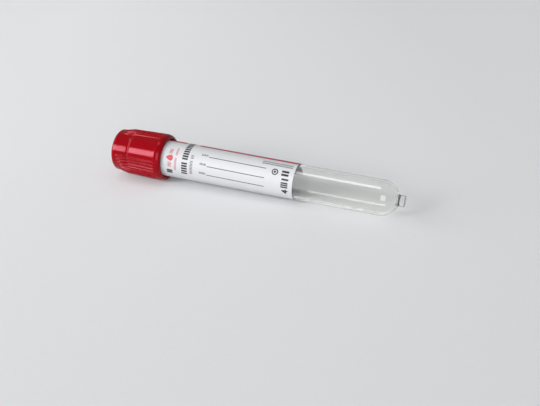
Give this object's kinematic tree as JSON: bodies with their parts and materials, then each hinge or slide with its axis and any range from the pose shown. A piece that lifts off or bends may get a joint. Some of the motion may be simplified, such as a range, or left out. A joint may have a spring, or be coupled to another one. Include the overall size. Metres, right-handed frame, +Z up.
{
  "type": "blood collection tube",
  "caption": "Clear round-bottomed sample tube lying on its side, with a ribbed red safety cap, a rubber stopper inside it and a white paper label wrapped round the tube.",
  "frame": {"origin": "on the ground under the middle of the lying tube's bounding box", "axes": "+X along the tube towards its round bottom, +Z up; the tube's axis lies in the XZ plane and slopes down 1.7 degrees towards +X"},
  "size_m": [0.1076, 0.0172, 0.0172],
  "materials": {
    "clear_tube": "clear, glossy",
    "label_paper": "smooth white, printed",
    "stopper_rubber": "matt",
    "cap_plastic": "moulded, satin gloss"
  },
  "bodies": {
    "tube": {"tube": "clear_tube", "label": "label_paper"},
    "closure": {"cap": "cap_plastic", "stopper": "stopper_rubber"}
  },
  "joints": [
    {"name": "cap_pull", "type": "slide", "parent": "tube", "child": "closure", "axis": [-0.9995, 0, 0.0301], "range_m": [0, 0.024]}
  ]
}
